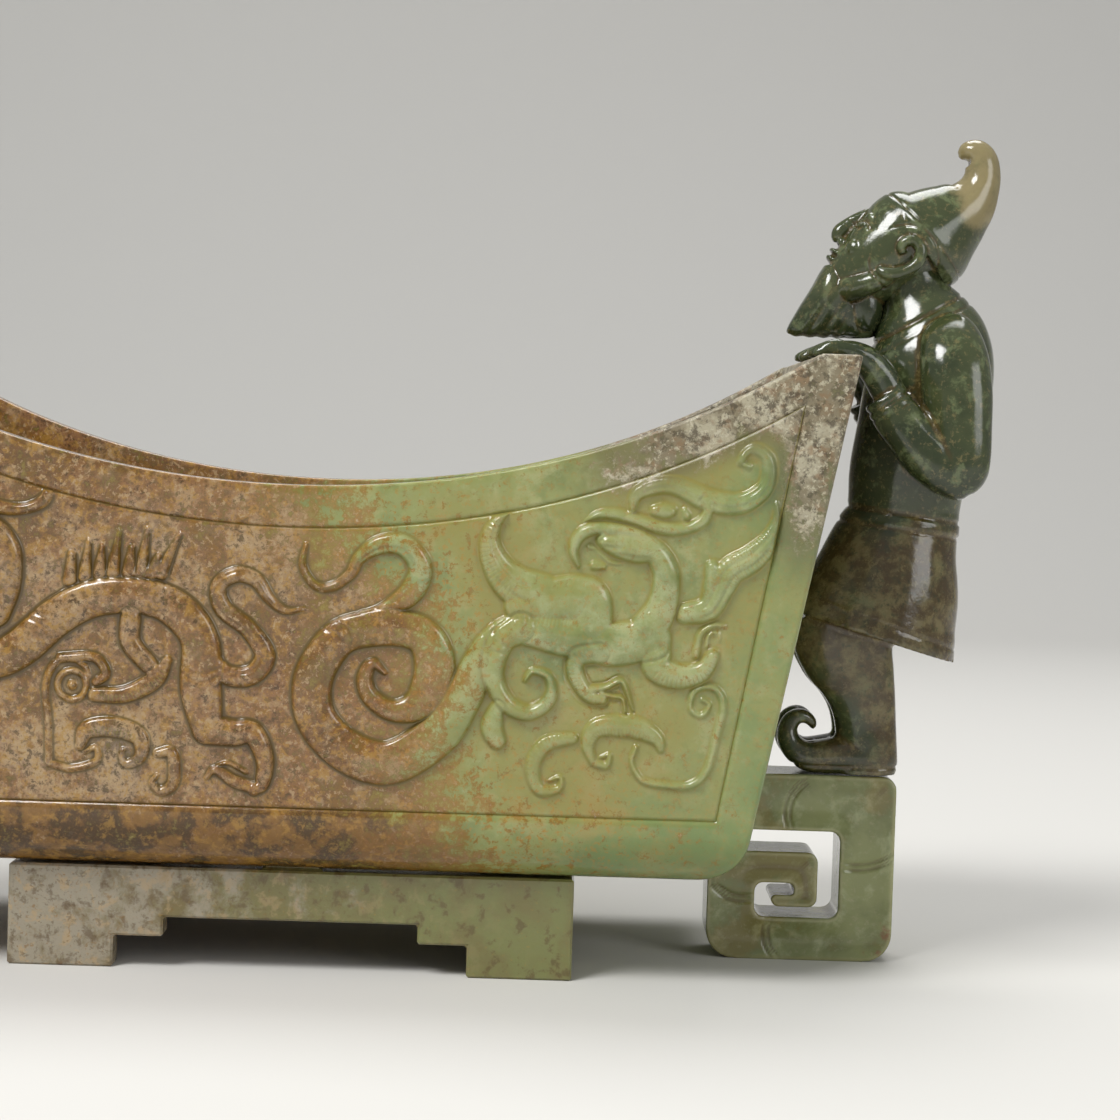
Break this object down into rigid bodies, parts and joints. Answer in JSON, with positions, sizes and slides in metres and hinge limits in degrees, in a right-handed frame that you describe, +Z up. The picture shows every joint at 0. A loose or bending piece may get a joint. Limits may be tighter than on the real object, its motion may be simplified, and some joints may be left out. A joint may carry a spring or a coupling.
{
  "type": "jade bowl",
  "caption": "Carved jade trough bowl with a swooped rim, on a pierced rectangular foot, gripped at each end by a capped attendant who stands on a squared openwork scroll.",
  "frame": {"origin": "on the surface that the bowl stands on, under the middle of the bowl", "axes": "+X along the bowl towards the attendant that the picture shows, +Y across the bowl away from the pictured side, +Z up"},
  "size_m": [0.2484, 0.09, 0.1521],
  "materials": {
    "bowl_jade": "polished celadon and russet nephrite with incised and raised carving",
    "foot_jade": "polished, beige-grey mottled nephrite",
    "scroll_jade": "polished olive nephrite with fine incised lines",
    "figure_jade": "polished spinach-green nephrite with tan mottling"
  },
  "bodies": {
    "root": {"bowl": "bowl_jade", "foot_ring": "foot_jade", "scroll_foot_right": "scroll_jade", "scroll_foot_left": "scroll_jade", "figure_right": "figure_jade", "figure_left": "figure_jade"}
  },
  "joints": []
}
